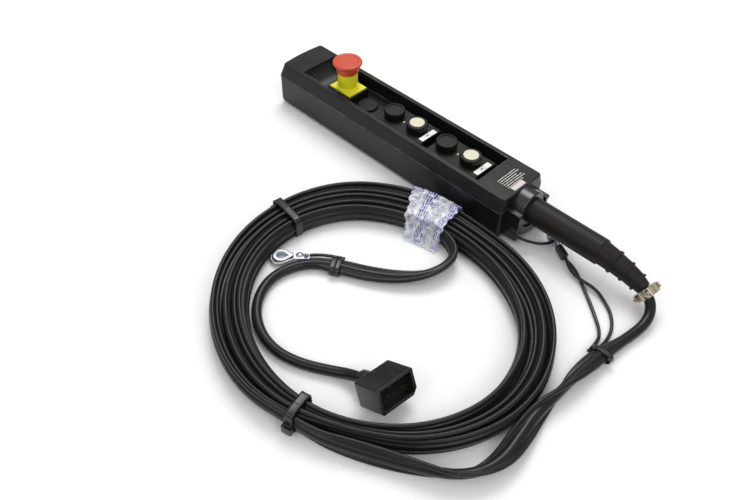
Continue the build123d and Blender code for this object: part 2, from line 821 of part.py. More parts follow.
cord_coil = coil_ring(0, coil_bottom, coil_top)
save(cord_coil, "cord_coil")

# ---------------------------------------------------------------- ties round the coil
tie_width = 8.6
tie_thickness = 1.3
tie_gap = 0.3
buckle_width = 4.4
buckle_height = 9.0
# angle round the coil, then the inner and outer reach of the bundle there
tie_places = [(173.0, 135.8, 176.8), (284.5, 122.8, 156.6)]

for number, (angle, inner_reach, outer_reach) in enumerate(tie_places, start=1):
    outward = Vector(cos(radians(angle)), sin(radians(angle)), 0)
    middle_reach = (inner_reach + outer_reach) / 2
    tie_plane = Plane(
        origin=Vector(*coil_centre, (coil_bottom + coil_top) / 2) + outward * middle_reach,
        x_dir=outward,
        z_dir=Vector(0, 0, 1).cross(outward),
    )
    inside_width = outer_reach - inner_reach + 6 * tie_gap
    inside_height = coil_top - coil_bottom + 2 * tie_gap
    with BuildPart() as coil_tie:
        with BuildSketch(tie_plane):
            RectangleRounded(
                inside_width + 2 * tie_thickness, inside_height + 2 * tie_thickness, 3.0
            )
            RectangleRounded(inside_width, inside_height, 0.5, mode=Mode.SUBTRACT)
        extrude(amount=tie_width / 2, both=True)
        with BuildSketch(tie_plane):
            with Locations((inside_width / 2 + tie_thickness / 2 + buckle_width / 2, -4.0)):
                RectangleRounded(buckle_width, buckle_height, 0.8)
        extrude(amount=tie_width / 2 + 0.8, both=True)
    save(coil_tie, f"coil_tie_{number}")

# ---------------------------------------------------------------- ties where the ropes fork off
fork_places = [
    ("fork_tie_lead", (336.0, -84.0, 6.9), (-3.0, -33.0, 0)),
    ("fork_tie_tail", (85.7, -180.0, 8.9), (-24.0, -14.5, 0)),
]
for name, middle, along in fork_places:
    sideways = Vector(0, 0, 1).cross(Vector(*along))
    with BuildPart() as fork_tie:
        with BuildSketch(Plane(origin=middle, x_dir=sideways, z_dir=along)):
            RectangleRounded(25.0, 13.4, 5.0)
            RectangleRounded(23.0, 11.8, 4.2, mode=Mode.SUBTRACT)
        extrude(amount=3.0, both=True)
    save(fork_tie, name)

# ---------------------------------------------------------------- film wrapped round the coil
film_gap = 0.5
film_thickness = 0.8


with BuildPart() as film_wrap:
    with Locations((109.0, -70.0, 15.0)):
        Box(46.0, 80.0, 40.0)
    add(
        coil_ring(
            film_gap + film_thickness,
            coil_bottom - film_gap - film_thickness,
            coil_top + film_gap + film_thickness,
        ).part,
        mode=Mode.INTERSECT,
    )
    add(coil_ring(film_gap, coil_bottom - film_gap, coil_top + film_gap).part, mode=Mode.SUBTRACT)
save(film_wrap, "film_wrap")

# ---------------------------------------------------------------- wire bail under the sleeve
bail_half = [
    (181.0, -17.0, 20.0),
    (181.0, -29.5, 20.0),
    (192.0, -30.0, 18.2),
    (204.0, -23.5, 14.0),
    (214.5, -14.5, 11.0),
    (221.2, -4.5, 10.2),
]
bail_route = bail_half + [(x, -y, z) for x, y, z in reversed(bail_half)]
with BuildPart() as bail_wire:
    with BuildLine() as bail_line:
        FilletPolyline(*bail_route, radius=corner_radii(bail_route))
    with BuildSketch(Plane(origin=bail_route[0], z_dir=bail_line.line % 0)):
        Circle(wire_diameter / 2)
    sweep(path=bail_line.line)
save(bail_wire, "bail_wire")

# ---------------------------------------------------------------- support ropes with their eyes
rope_lead_routes = [
    [
        (327.6, -89.0, 5.2),
        (327.5, -78.0, 4.4),
        (323.5, -61.0, 2.0),
        (300.0, -40.5, 1.9),
        (272.5, -20.0, 2.0),
        (257.0, -10.2, 3.6),
        (239.8, -2.3, 5.5),
    ],
    [
        (332.3, -89.0, 5.2),
        (332.5, -78.0, 4.4),
        (331.5, -62.0, 2.0),
        (327.0, -47.0, 1.9),
        (316.0, -32.5, 1.9),
        (301.0, -23.5, 2.6),
        (288.0, -20.2, 6.2),
        (266.0, -21.2, 6.2),
        (253.5, -15.5, 5.4),
        (238.2, -7.2, 5.5),
    ],
]
rope_tail_routes = [
    [(86.0, -171.2, 6.0), (76.0, -176.5, 5.4), (62.5, -184.5, 3.8), (52.8, -196.3, 3.8)],
    [(88.2, -175.2, 6.0), (79.0, -180.6, 5.4), (66.5, -189.2, 3.8), (56.2, -199.7, 3.8)],
]
lead_eye_plane = Plane(
    origin=(219.0, 3.0, 10.0), x_dir=(0.915, -0.354, -0.195), z_dir=(0.361, 0.933, 0)
)
tail_eye_plane = Plane(origin=(37.0, -215.4, 3.8), x_dir=(1, 1, 0), z_dir=(0, 0, 1))
leg_spacing = rope_diameter / 2 + 0.1
lead_eye_radius = 4.2
lead_bend_radius = 7.2
lead_leg_end = 12.5
lead_thimble_half_width = 2.6
tail_eye_radius = 5.2
tail_bend_radius = 8.5
tail_leg_end = 13.5
tail_thimble_half_width = 3.0


def teardrop(radius, tip_x, tip_y):
    """A round bend with two straight legs running out to the tip on either side of the x axis."""
    angle = atan2(tip_y, tip_x) + acos(radius / sqrt(tip_x**2 + tip_y**2))
    touch_x = radius * cos(angle)
    touch_y = radius * sin(angle)
    with BuildLine() as outline:
        Line((tip_x, tip_y), (touch_x, touch_y))
        ThreePointArc((touch_x, touch_y), (-radius, 0), (touch_x, -touch_y))
        Line((touch_x, -touch_y), (tip_x, -tip_y))
    return outline.line


def closed_teardrop(radius, tip_x):
    """The same outline closed to a point on the x axis."""
    return teardrop(radius, tip_x, 0).edges()


def rope_bend(bend_radius, leg_end, diameter):
    """The rope bent round a thimble that lies about the origin."""
    path = teardrop(bend_radius, leg_end, leg_spacing)
    with BuildPart() as bend:
        with BuildSketch(Plane(origin=path @ 0, z_dir=path % 0)):
            Circle(diameter / 2)
        sweep(path=path)
    return bend.part


def save_thimble(name, plane, eye_radius, bend_radius, leg_end, half_width):
    """A grooved eye that fits inside the bend of its rope."""
    with BuildPart() as thimble:
        with BuildSketch():
            make_face(closed_teardrop(bend_radius - 0.6, leg_end))
            make_face(closed_teardrop(eye_radius, leg_end - 4.0), mode=Mode.SUBTRACT)
        extrude(amount=half_width, both=True)
        add(rope_bend(bend_radius, leg_end, rope_diameter + 0.1), mode=Mode.SUBTRACT)
    save_placed(thimble, name, plane)


lead_bend = rope_bend(lead_bend_radius, lead_leg_end, rope_diameter)
tail_bend = rope_bend(tail_bend_radius, tail_leg_end, rope_diameter)
save_cord("rope_lead", rope_lead_routes, rope_diameter, lead_eye_plane.location * lead_bend)
save_cord("rope_tail", rope_tail_routes, rope_diameter, tail_eye_plane.location * tail_bend)
save_thimble(
    "thimble_lead",
    lead_eye_plane,
    lead_eye_radius,
    lead_bend_radius,
    lead_leg_end - 1.0,
    lead_thimble_half_width,
)
save_thimble(
    "thimble_tail",
    tail_eye_plane,
    tail_eye_radius,
    tail_bend_radius,
    tail_leg_end - 1.0,
    tail_thimble_half_width,
)

ferrule_start = 11.5
ferrule_length = 13.5
with BuildPart() as rope_ferrule:
    with BuildSketch(Plane.YZ.offset(ferrule_start)):
        RectangleRounded(11.0, 7.4, 3.6)
    extrude(amount=ferrule_length)
    fillet(rope_ferrule.faces().sort_by(Axis.X)[-1].edges(), radius=0.8)
save_placed(rope_ferrule, "rope_ferrule", lead_eye_plane)

clip_start = 13.0
clip_length = 16.5
clip_width = 10.6
clip_half_height = 3.4
dome_radius = 6.0
nut_x = clip_start + clip_length - 3.4

with BuildPart() as rope_clip_body:
    with Locations((clip_start + dome_radius, 0, -1)):
        Sphere(dome_radius)
        Box(
            4 * dome_radius,
            4 * dome_radius,
            2 * dome_radius,
            align=(Align.CENTER, Align.CENTER, Align.MAX),
            mode=Mode.SUBTRACT,
        )
    with BuildSketch(Plane.XY.offset(-clip_half_height)):
        with Locations((clip_start + clip_length / 2, 0)):
            RectangleRounded(clip_length, clip_width, 1.6)
    extrude(amount=2 * clip_half_height)
save_placed(rope_clip_body, "rope_clip_body", tail_eye_plane)

with BuildPart() as rope_clip_nut:
    with BuildSketch(Plane.XY.offset(clip_half_height)):
        with Locations((nut_x, 0)):
            RegularPolygon(3.1, 6)
    extrude(amount=2.6)
    with BuildSketch(Plane.XY.offset(clip_half_height + 2.6)):
        with Locations((nut_x, 0)):
            Circle(1.9)
    extrude(amount=1.4)
save_placed(rope_clip_nut, "rope_clip_nut", tail_eye_plane)

# ---------------------------------------------------------------- eight-way cable connector
shell_wall = 2.5
shell_front = connector_depth / 2
recess_depth = 8.0
insert_depth = 12.4
insert_front = shell_front - recess_depth
contact_pitch = 8.6
contact_hole_radius = 2.5
contact_radius = 1.9
contact_depth = 9.0
corner_cut = 5.0

with BuildPart() as connector_shell:
    Box(connector_depth, connector_width, connector_height)
    along_x = connector_shell.edges().filter_by(Axis.X).sort_by(Axis.Z)[:2]
    chamfer(along_x.sort_by(Axis.Y)[-1], length=corner_cut)
    fillet(connector_shell.edges().filter_by(Axis.X), radius=1.6)
    fillet(connector_shell.faces().sort_by(Axis.X)[0].edges(), radius=1.2)
    with BuildSketch(Plane.YZ.offset(shell_front)):
        RectangleRounded(connector_width - 2 * shell_wall, connector_height - 2 * shell_wall, 1.5)
    extrude(amount=shell_wall - connector_depth, mode=Mode.SUBTRACT)
    with BuildSketch(Plane.YZ.offset(-shell_front)):
        with Locations((boss_y, boss_z)):
            Circle(core_diameter / 2)
    extrude(amount=shell_wall, mode=Mode.SUBTRACT)
save_placed(connector_shell, "connector_shell", connector_plane)

with BuildPart() as connector_insert:
    with BuildSketch(Plane.YZ.offset(insert_front)):
        RectangleRounded(
            connector_width - 2 * shell_wall - 0.2, connector_height - 2 * shell_wall - 0.2, 1.4
        )
        with GridLocations(contact_pitch, contact_pitch, 4, 2):
            Circle(contact_hole_radius, mode=Mode.SUBTRACT)
    extrude(amount=-insert_depth)
save_placed(connector_insert, "connector_insert", connector_plane)

with BuildPart() as connector_contacts:
    with BuildSketch(Plane.YZ.offset(insert_front - 2.0)):
        with GridLocations(contact_pitch, contact_pitch, 4, 2):
            Circle(contact_radius)
            Circle(contact_radius - 0.6, mode=Mode.SUBTRACT)
    extrude(amount=-contact_depth)
    with BuildSketch(Plane.YZ.offset(insert_front - 2.0 - contact_depth)):
        with GridLocations(contact_pitch, contact_pitch, 4, 2):
            Circle(contact_hole_radius)
    extrude(amount=-1.2)
save_placed(connector_contacts, "connector_contacts", connector_plane)

with BuildPart() as connector_gland:
    with BuildSketch(Plane.YZ.offset(-shell_front)):
        with Locations((boss_y, boss_z)):
            Circle(boss_radius)
    extrude(amount=-boss_length)
    fillet(connector_gland.faces().sort_by(Axis.X)[0].edges(), radius=1.5)
    with BuildSketch(Plane.YZ.offset(-shell_front)):
        with Locations((boss_y, boss_z)):
            Circle(core_diameter / 2)
    extrude(amount=-boss_length, mode=Mode.SUBTRACT)
save_placed(connector_gland, "connector_gland", connector_plane)
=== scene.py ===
import math
import random

import bmesh
import bpy
import numpy as np
from mathutils import Matrix, Vector


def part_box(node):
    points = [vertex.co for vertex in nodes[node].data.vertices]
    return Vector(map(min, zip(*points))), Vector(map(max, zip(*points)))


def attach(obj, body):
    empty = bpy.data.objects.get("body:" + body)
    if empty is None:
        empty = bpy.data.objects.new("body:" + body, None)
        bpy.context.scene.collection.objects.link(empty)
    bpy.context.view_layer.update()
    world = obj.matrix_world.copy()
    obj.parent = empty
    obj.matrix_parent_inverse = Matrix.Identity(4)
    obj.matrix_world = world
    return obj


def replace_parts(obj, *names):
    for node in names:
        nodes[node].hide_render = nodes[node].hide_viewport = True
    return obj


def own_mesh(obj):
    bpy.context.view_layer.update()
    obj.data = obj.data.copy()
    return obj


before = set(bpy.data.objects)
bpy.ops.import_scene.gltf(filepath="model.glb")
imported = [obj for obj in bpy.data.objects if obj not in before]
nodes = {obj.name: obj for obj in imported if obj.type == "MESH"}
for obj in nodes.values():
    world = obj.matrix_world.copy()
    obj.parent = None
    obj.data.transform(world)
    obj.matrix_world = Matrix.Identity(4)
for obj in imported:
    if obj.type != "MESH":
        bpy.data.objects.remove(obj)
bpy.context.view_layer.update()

# Pendant control station with its flat cable. Metres, in the CAD model's frame.
mm = 0.001
scene = bpy.context.scene

# ---------------------------------------------------------------- camera
camera_data = bpy.data.cameras.new("camera")
camera_data.sensor_width = 36
camera_data.lens = 37.95
camera_data.shift_x = 0.0213
camera_data.clip_start = 0.01
camera_right = Vector((0.6955, 0.7186, 0.002))
camera_up = Vector((-0.52, 0.5014, 0.6915))
camera_back = Vector((0.4959, -0.482, 0.7224))
camera = bpy.data.objects.new("camera", camera_data)
scene.collection.objects.link(camera)
camera_turn = Matrix((camera_right, camera_up, camera_back)).transposed().to_4x4()
camera_place = (0.4946, -0.5481, 0.5995)
camera.matrix_world = Matrix.Translation(camera_place) @ camera_turn
scene.camera = camera

# ---------------------------------------------------------------- cable route, in millimetres
cable_width = 20.5
lobe_radius = 2.3
lobe_offset = cable_width / 2 - lobe_radius
core_half_width = 5.3
core_half_height = 4.4
web_half_height = 1.0
round_radius = 5.25

# A control point: x, y, z, the flat section's tilt in degrees, and how far its lobes stand out,
# from 0, round, to 1, flat. The lead runs from the sleeve to the coil.
lead_route = [
    (320.5, 0.0, 24.1, 0, 0),
    (334.0, -0.8, 17.6, 0, 0),
    (344.0, -10.5, 11.0, 0, 0),
    (347.2, -25.0, 7.2, 0, 0),
    (345.5, -43.0, 5.8, 0, 0),
    (342.0, -64.0, 5.7, 4, 0),
    (338.2, -84.0, 7.0, 10, 0.7),
    (336.5, -116.0, 9.5, 30, 1),
    (337.5, -150.0, 10.8, 84, 1),
    (337.0, -180.0, 10.8, 132, 1),
    (341.0, -208.0, 10.8, 165, 1),
    (344.0, -234.0, 10.8, 198, 1),
    (339.0, -257.0, 10.8, 228, 1),
    (325.0, -276.0, 10.8, 246, 1),
    (303.0, -290.5, 10.8, 272, 1),
    (273.0, -307.0, 10.8, 296, 1),
    (243.5, -322.0, 10.8, 288, 1),
    (223.0, -331.5, 11.2, 270, 1),
]
# the tail runs from the coil to the connector
tail_route = [
    (163.0, -88.0, 12.4, 258, 1),
    (168.0, -106.0, 10.8, 236, 1),
    (161.0, -130.0, 9.0, 212, 1),
    (143.0, -151.0, 7.5, 194, 1),
    (117.0, -169.5, 6.4, 184, 1),
    (88.0, -184.0, 6.2, 180, 0.8),
    (69.0, -198.0, 5.9, 180, 0),
    (57.0, -217.0, 5.8, 180, 0),
    (53.0, -241.0, 5.6, 180, 0),
    (62.0, -265.0, 5.6, 180, 0),
    (80.0, -284.0, 5.6, 180, 0),
    (104.0, -295.5, 5.6, 180, 0),
    (129.0, -297.5, 5.6, 180, 0),
    (153.0, -290.5, 5.6, 180, 0),
    (175.0, -278.0, 5.6, 180, 0),
    (196.0, -265.2, 7.6, 180, 0),
    (214.6, -264.5, 17.5, 180, 0),
]

coil_centre = (160.0, -197.0)
coil_middle_height = 12.6
# reach of the bundle's two sides from the coil's centre, every 30 degrees
coil_inner_reach = [
    139.0, 134.5, 122.0, 116.0, 121.0, 134.0, 137.0, 131.0, 123.0, 121.5, 126.0, 133.5,
]
coil_outer_reach = [
    172.5, 171.0, 162.0, 153.0, 166.0, 178.0, 175.0, 167.5, 160.0, 154.0, 144.0, 160.0,
]
coil_first_angle = 281.0
coil_last_angle = 100.0 - 4 * 360
points_per_turn = 24
coil_tilt = 258.0
coil_tilt_swing = 11.0
side_margin = 4.2
weave_reach = 0.6
crossing_rise = 2.3


def reach_at(reaches, angle):
    """Reach at an angle, from values every 30 degrees joined smoothly."""
    place = (angle % 360) / 30
    before = int(place) % 12
    share = place - int(place)
    p0, p1, p2, p3 = [reaches[(before + k) % 12] for k in (-1, 0, 1, 2)]
    return p1 + 0.5 * share * (
        p2 - p0 + share * (2 * p0 - 5 * p1 + 4 * p2 - p3 + share * (3 * (p1 - p2) + p3 - p0))
    )


# how far the winding has turned, in degrees, and how far in it then lies, from 0, outside, to 1
winding_steps = [
    (0, 0), (271, 0), (330, 0.12), (400, 0.25), (500, 0.25), (631, 0.34), (720, 0.5), (860, 0.5),
    (991, 0.67), (1080, 0.75), (1220, 0.75), (1351, 1), (1700, 1),
]


def coil_route():
    """The coil's turns, winding inwards clockwise as seen from above."""
    swept = coil_first_angle - coil_last_angle
    count = round(swept / 360 * points_per_turn)
    route = []
    for index in range(count + 1):
        share = index / count
        angle = coil_first_angle - swept * share
        turn_number = swept * share / 360
        low = reach_at(coil_inner_reach, angle) + side_margin
        high = reach_at(coil_outer_reach, angle) - side_margin
        inward = np.interp(swept * share, *zip(*winding_steps))
        fade = math.sin(math.pi * share)
        weave = weave_reach * math.sin(2.1 * turn_number * math.pi + 0.8) * fade
        reach = high - (high - low) * inward + weave
        rise = crossing_rise * math.tanh(3 * math.cos(math.pi * turn_number)) * fade
        tilt = coil_tilt + coil_tilt_swing * math.sin(2 * math.pi * 1.37 * turn_number + 0.5)
        x = coil_centre[0] + reach * math.cos(math.radians(angle))
        y = coil_centre[1] + reach * math.sin(math.radians(angle))
        route.append((x, y, coil_middle_height + rise, tilt, 1))
    return route


def spline_line(route, resolution=8):
    """Points in metres along the NURBS spline that has these control points in millimetres."""
    curve = bpy.data.curves.new("line", "CURVE")
    curve.dimensions = "3D"
    curve.resolution_u = resolution
    spline = curve.splines.new("NURBS")
    spline.points.add(len(route) - 1)
    for point, place in zip(spline.points, route):
        point.co = (place[0] * mm, place[1] * mm, place[2] * mm, 1)
    spline.order_u = 3
    spline.use_endpoint_u = True
    spline.resolution_u = resolution
    carrier = bpy.data.objects.new("line", curve)
    scene.collection.objects.link(carrier)
    mesh = bpy.data.meshes.new_from_object(carrier)
    line = [Vector(v.co) for v in mesh.vertices]
    bpy.data.objects.remove(carrier)
    bpy.data.meshes.remove(mesh)
    return line


def along_line(values, count):
    """Values given at the control points, read off smoothly at count points along the spline."""
    spans = len(values) - 2
    place = np.arange(count) / (count - 1) * spans + 0.5
    read = np.interp(place, np.arange(len(values)), values)
    reach = 4
    kernel = np.ones(2 * reach + 1) / (2 * reach + 1)
    padded = np.concatenate([np.full(reach, read[0]), read, np.full(reach, read[-1])])
    return np.convolve(padded, kernel, mode="valid")


def directions(line):
    """Unit tangent at each point of a line."""
    found = []
    for index in range(len(line)):
        before = line[max(index - 1, 0)]
        after = line[min(index + 1, len(line) - 1)]
        found.append((after - before).normalized())
    return found


def new_piece(name, mesh, smooth=True):
    """A piece that rides on the station."""
    piece = bpy.data.objects.new(name, mesh)
    scene.collection.objects.link(piece)
    for polygon in mesh.polygons:
        polygon.use_smooth = smooth
    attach(piece, "station")
    return piece


def rings_mesh(name, rings, closed_ends=True):
    """A tube through rings of the same number of points."""
    count = len(rings[0])
    vertices = [point for ring in rings for point in ring]
    faces = []
    for row in range(len(rings) - 1):
        for index in range(count):
            after = (index + 1) % count
            faces.append((
                row * count + index, row * count + after,
                (row + 1) * count + after, (row + 1) * count + index,
            ))
    if closed_ends:
        faces.append(tuple(reversed(range(count))))
        faces.append(tuple((len(rings) - 1) * count + index for index in range(count)))
    mesh = bpy.data.meshes.new(name)
    mesh.from_pydata(vertices, [], faces)
    mesh.update()
    return mesh


# ---------------------------------------------------------------- the flat cable's section
def flat_half_height(across):
    """Half the flat cable's thickness at a distance across it from its middle."""
    tallest = web_half_height if across < lobe_offset else 0.0
    if across < core_half_width:
        tallest = max(tallest, core_half_height * math.sqrt(1 - (across / core_half_width) ** 2))
    from_lobe = abs(across - lobe_offset)
    if from_lobe < lobe_radius:
        tallest = max(tallest, math.sqrt(lobe_radius**2 - from_lobe**2))
    return tallest


across_steps = [0.0, 1.2, 2.4, 3.5, 4.4, 5.0, 5.5, 6.0, 6.5, 7.2, 8.0, 8.8, 9.5, 10.0]
upper_half = [(across, flat_half_height(across)) for across in reversed(across_steps)]
upper_half += [(-across, flat_half_height(across)) for across in across_steps[1:]]
edge = cable_width / 2
flat_section = [(edge, 0.0)] + upper_half + [(-edge, 0.0)]
flat_section += [(across, -height) for across, height in reversed(upper_half)]


def round_point(index):
    """The point on the round core that the same point of the flat section shrinks to."""
    across, height = flat_section[index]
    angle = math.acos(max(-1.0, min(1.0, across / edge)))
    if height < 0:
        angle = -angle
    return round_radius * math.cos(angle), round_radius * math.sin(angle)


round_section = [round_point(index) for index in range(len(flat_section))]


def section_ways(tangent, tilt):
    """The ways across and through the flat section, at a tilt in degrees from level."""
    side = Vector((0, 0, 1)).cross(tangent).normalized()
    upward = tangent.cross(side)
    across_way = side * math.cos(math.radians(tilt)) + upward * math.sin(math.radians(tilt))
    return across_way, tangent.cross(across_way)


def cable_rings(line, tilts, lobes):
    """The cable's section at each point, between round and flat as its lobes stand out."""
    rings = []
    for point, tangent, tilt, lobe in zip(line, directions(line), tilts, lobes):
        across_way, thick_way = section_ways(tangent, tilt)
        ring = []
        for (flat_x, flat_y), (round_x, round_y) in zip(flat_section, round_section):
            across = flat_x * lobe + round_x * (1 - lobe)
            height = flat_y * lobe + round_y * (1 - lobe)
            ring.append(point + across_way * across * mm + thick_way * height * mm)
        rings.append(ring)
    return rings


cable_route = lead_route + coil_route() + tail_route
cable_line = spline_line(cable_route)
cable_tilts = along_line([place[3] for place in cable_route], len(cable_line))
cable_lobes = along_line([place[4] for place in cable_route], len(cable_line))
flat_cable = new_piece(
    "flat_cable",
    rings_mesh("flat_cable", cable_rings(cable_line, cable_tilts, cable_lobes)),
)
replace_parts(flat_cable, "cord_lead", "cord_coil", "cord_tail")

# ---------------------------------------------------------------- support ropes
rope_radius = 1.7
rope_ring_points = 28
rope_strands = 7
strand_lay = 16.0
# how far from its eye a rope is bare of its jacket
bare_reach = 24.0


def eye_bend(origin, x_dir, z_dir, radius, leg_end):
    """Control points of the rope's bend round its thimble, from one leg to the other."""
    x_way = Vector(x_dir).normalized()
    z_way = Vector(z_dir).normalized()
    y_way = z_way.cross(x_way)
    side = 1.12 * radius
    local = [
        (leg_end + 10, 2.4), (leg_end, 2.6), (0.55 * leg_end, 0.62 * radius), (0.15 * radius, side),
        (-0.72 * radius, 1.02 * side), (-1.22 * radius, 0.42 * side),
    ]
    local += [(x, -y) for x, y in reversed(local)]
    return [tuple(Vector(origin) + x_way * x + y_way * y) for x, y in local]


# each rope's first leg, its second leg, and its eye: place, way to the legs, the eye's axis, radius
# and the legs' distance from the eye's middle
rope_routes = {
    "rope_lead": (
        [
            (327.6, -89.0, 5.2), (327.5, -78.0, 4.4), (323.5, -61.0, 2.0), (300.0, -40.5, 1.9),
            (272.5, -20.0, 2.0), (257.0, -10.2, 3.6),
        ],
        [
            (253.5, -15.5, 5.4), (266.0, -21.2, 6.2), (288.0, -20.2, 6.2), (301.0, -23.5, 2.6),
            (316.0, -32.5, 1.9), (327.0, -47.0, 1.9), (331.5, -62.0, 2.0), (332.5, -78.0, 4.4),
            (332.3, -89.0, 5.2),
        ],
        ((219.0, 3.0, 10.0), (0.915, -0.354, -0.195), (0.361, 0.933, 0), 7.2, 12.5),
    ),
    "rope_tail": (
        [(86.0, -171.2, 6.0), (76.0, -176.5, 5.4), (62.5, -184.5, 3.8)],
        [(66.5, -189.2, 3.8), (79.0, -180.6, 5.4), (88.2, -175.2, 6.0)],
        ((37.0, -215.4, 3.8), (1, 1, 0), (0, 0, 1), 8.5, 13.5),
    ),
}


def carried_frames(line):
    """Two cross directions at each point, carried along the line without twist."""
    found = []
    tangents = directions(line)
    across = tangents[0].orthogonal().normalized()
    for tangent in tangents:
        across = (across - tangent * across.dot(tangent)).normalized()
        found.append((across, tangent.cross(across)))
    return found


def rope_rings(line, bare_near):
    """A twisted wire rope, bare near a point and under a thin smooth jacket elsewhere."""
    rings = []
    travelled = 0.0
    previous = line[0]
    for point, (across, upward) in zip(line, carried_frames(line)):
        travelled += (point - previous).length
        previous = point
        bare = (point - bare_near).length < bare_reach * mm
        ring = []
        for step in range(rope_ring_points):
            angle = 2 * math.pi * step / rope_ring_points
            twist = 2 * math.pi * travelled / (strand_lay * mm)
            wave = abs(math.sin(rope_strands / 2 * (angle - twist)))
            groove = 0.24 if bare else 0.07
            radius = rope_radius * (1.02 - groove * (1 - wave)) * (0.98 if bare else 1.0)
            ring.append(point + (across * math.cos(angle) + upward * math.sin(angle)) * radius * mm)
        rings.append(ring)
    return rings


ropes = {}
for name, (first_leg, second_leg, eye) in rope_routes.items():
    line = spline_line(first_leg + eye_bend(*eye) + second_leg, 14)
    eye_middle = Vector(eye[0]) * mm
    rope = new_piece(name + "_wire", rings_mesh(name, rope_rings(line, eye_middle)))
    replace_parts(rope, name)
    ropes[name] = (rope, line, eye_middle)


# ---------------------------------------------------------------- finishes
class Finish:
    """Builds one procedural material, node by node."""

    def __init__(self, name):
        """An empty material, placed by the object's own coordinates."""
        self.material = bpy.data.materials.new(name)
        self.material.use_nodes = True
        self.tree = self.material.node_tree
        self.shader = self.tree.nodes["Principled BSDF"]
        self.place = self.add("ShaderNodeTexCoord").outputs["Object"]

    def add(self, kind, **settings):
        """A new node with these settings."""
        node = self.tree.nodes.new(kind)
        for key, value in settings.items():
            setattr(node, key, value)
        return node

    def link(self, source, target):
        self.tree.links.new(source, target)

    def noise(self, size_mm, detail=3.0, roughness=0.55):
        """Noise whose features are about size_mm across."""
        node = self.add("ShaderNodeTexNoise")
        node.inputs["Scale"].default_value = 1 / (size_mm * mm)
        node.inputs["Detail"].default_value = detail
        node.inputs["Roughness"].default_value = roughness
        self.link(self.place, node.inputs["Vector"])
        return node.outputs["Fac"]

    def ranged(self, source, low, high, to_low=0.0, to_high=1.0):
        """A socket's values from low to high, carried to another range and held at its ends."""
        node = self.add("ShaderNodeMapRange")
        self.link(source, node.inputs["Value"])
        node.inputs["From Min"].default_value = low
        node.inputs["From Max"].default_value = high
        node.inputs["To Min"].default_value = to_low
        node.inputs["To Max"].default_value = to_high
        return node.outputs["Result"]

    def mixed(self, factor, first, second):
        """A colour between two, each a colour or a socket."""
        node = self.add("ShaderNodeMix", data_type="RGBA")
        self.link(factor, node.inputs["Factor"])
        for value, key in ((first, "A"), (second, "B")):
            socket = [s for s in node.inputs if s.name == key and s.type == "RGBA"][0]
            if isinstance(value, tuple):
                socket.default_value = (*value, 1)
            else:
                self.link(value, socket)
        return [s for s in node.outputs if s.type == "RGBA"][0]

    def combined(self, first, second, operation="MULTIPLY"):
        """Two numbers or sockets put together, multiplied unless told otherwise."""
        node = self.add("ShaderNodeMath", operation=operation)
        for value, socket in ((first, node.inputs[0]), (second, node.inputs[1])):
            if isinstance(value, (int, float)):
                socket.default_value = value
            else:
                self.link(value, socket)
        return node.outputs["Value"]

    def edges(self, radius_mm):
        """Normals rounded over sharp edges, and a mask that is 1 along those edges."""
        rounded = self.add("ShaderNodeBevel", samples=6)
        rounded.inputs["Radius"].default_value = radius_mm * mm
        plain = self.add("ShaderNodeNewGeometry").outputs["Normal"]
        alike = self.add("ShaderNodeVectorMath", operation="DOT_PRODUCT")
        self.link(rounded.outputs["Normal"], alike.inputs[0])
        self.link(plain, alike.inputs[1])
        return rounded.outputs["Normal"], self.ranged(alike.outputs["Value"], 0.98, 0.86)

    def bump(self, height, depth_mm, strength=0.5, normal=None):
        """A raised surface in the shader, from a height socket."""
        node = self.add("ShaderNodeBump")
        if normal:
            self.link(normal, node.inputs["Normal"])
        node.inputs["Strength"].default_value = strength
        node.inputs["Distance"].default_value = depth_mm * mm
        self.link(height, node.inputs["Height"])
        self.link(node.outputs["Normal"], self.shader.inputs["Normal"])


def shaded(colour, factor):
    """A colour made darker or lighter."""
    return tuple(min(1.0, channel * factor) for channel in colour)


